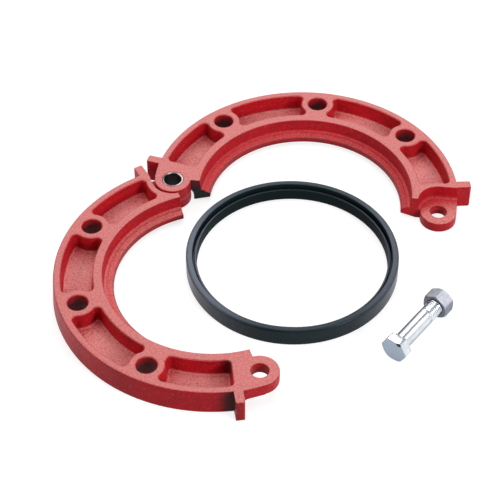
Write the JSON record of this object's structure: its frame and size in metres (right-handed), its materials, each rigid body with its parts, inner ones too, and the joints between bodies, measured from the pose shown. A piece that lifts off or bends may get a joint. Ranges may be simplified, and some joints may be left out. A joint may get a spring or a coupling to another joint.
{
  "type": "hinged flange adapter",
  "caption": "Hinged two-piece flange adapter for grooved pipe, open, with hollow hinge pin, rubber gasket ring and hex closure bolt with nut beside it.",
  "frame": {"origin": "hinge axis at the height of the back faces, where the open adapter rests", "axes": "+Z along the hinge axis towards the mating face; +X to the right and +Y away from the viewer in the picture's view"},
  "size_m": [0.4581, 0.4796, 0.0316],
  "materials": {
    "red_casting": "semi-gloss red paint over rough casting skin",
    "bright_steel": "bright turned steel",
    "black_rubber": "satin moulded rubber",
    "zinc_steel": "bright zinc plate"
  },
  "bodies": {
    "left_half": {"left_half": "red_casting", "hinge_sleeve": "bright_steel"},
    "right_half": {"right_half": "red_casting"},
    "gasket": {"gasket": "black_rubber"},
    "closure_bolt": {"closure_bolt": "zinc_steel"},
    "closure_nut": {"closure_nut": "zinc_steel"}
  },
  "joints": [
    {"name": "hinge", "type": "hinge", "parent": "left_half", "child": "right_half", "pos_m": [0, 0, 0], "axis": [0, 0, 1], "range_deg": [-64.2, 0]},
    {"name": "gasket_lift", "type": "slide", "parent": "left_half", "child": "gasket", "axis": [-0.8332, -0.3272, 0.4457], "range_m": [0, 0.102]},
    {"name": "bolt_aside", "type": "slide", "parent": "left_half", "child": "closure_bolt", "axis": [0.7764, -0.6303, 0], "range_m": [0, 0.061]},
    {"name": "nut_spin", "type": "hinge", "parent": "closure_bolt", "child": "closure_nut", "pos_m": [0.28459, -0.1784, 0.0158], "axis": [0.6205, 0.7837, 0.0279], "continuous": true}
  ],
  "couplings": [
    {"joint": "gasket_lift", "follows": "hinge", "m_per_rad": -0.090105},
    {"joint": "bolt_aside", "follows": "hinge", "m_per_rad": -0.053547}
  ]
}
